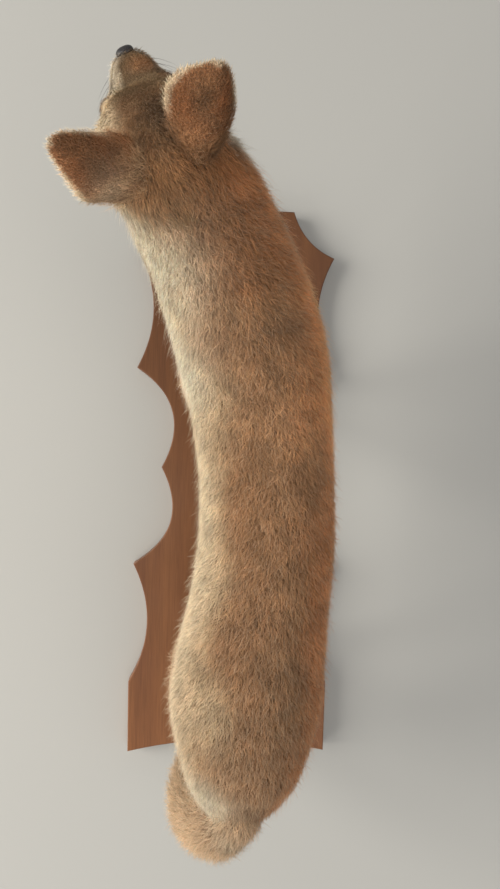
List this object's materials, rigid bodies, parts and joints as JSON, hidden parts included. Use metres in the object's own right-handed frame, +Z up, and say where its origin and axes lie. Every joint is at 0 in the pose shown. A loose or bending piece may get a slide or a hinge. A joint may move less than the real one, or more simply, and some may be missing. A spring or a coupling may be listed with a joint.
{
  "type": "taxidermy fox",
  "caption": "Life-size mounted red fox standing with its head turned left and tail hanging down, on a flat scalloped wooden board.",
  "frame": {"origin": "middle of the board's underside, on the board's lengthwise middle line halfway between its two ends", "axes": "+Y the way the fox's trunk faces, along the board; +X the fox's right side; +Z up"},
  "size_m": [0.2768, 0.7453, 0.5152],
  "materials": {
    "coat": "short dense fur, golden tan speckled with brown",
    "pale_coat": "soft cream fur",
    "dark_coat": "short faded dark-brown fur",
    "ear": "very short velvet fur, brown with a dark middle",
    "eye": "polished glass with an amber iris",
    "nose": "dry black pebbled skin",
    "claw": "dark horn",
    "wood": "reddish-brown stain, satin, straight grain"
  },
  "bodies": {
    "root": {"board": "wood", "trunk": "coat", "neck": "coat", "head": "coat", "lower_jaw": "pale_coat", "nose_pad": "nose", "eye_left": "eye", "eye_right": "eye", "ear_left": "ear", "ear_right": "ear", "tail_root": "coat", "tail_tip": "pale_coat", "foreleg_left_upper": "coat", "foreleg_left_lower": "dark_coat", "foreleg_left_paw": "dark_coat", "foreleg_right_upper": "coat", "foreleg_right_lower": "dark_coat", "foreleg_right_paw": "dark_coat", "hindleg_left_upper": "coat", "hindleg_left_lower": "dark_coat", "hindleg_left_paw": "dark_coat", "hindleg_right_upper": "coat", "hindleg_right_lower": "dark_coat", "hindleg_right_paw": "dark_coat"}
  },
  "joints": []
}
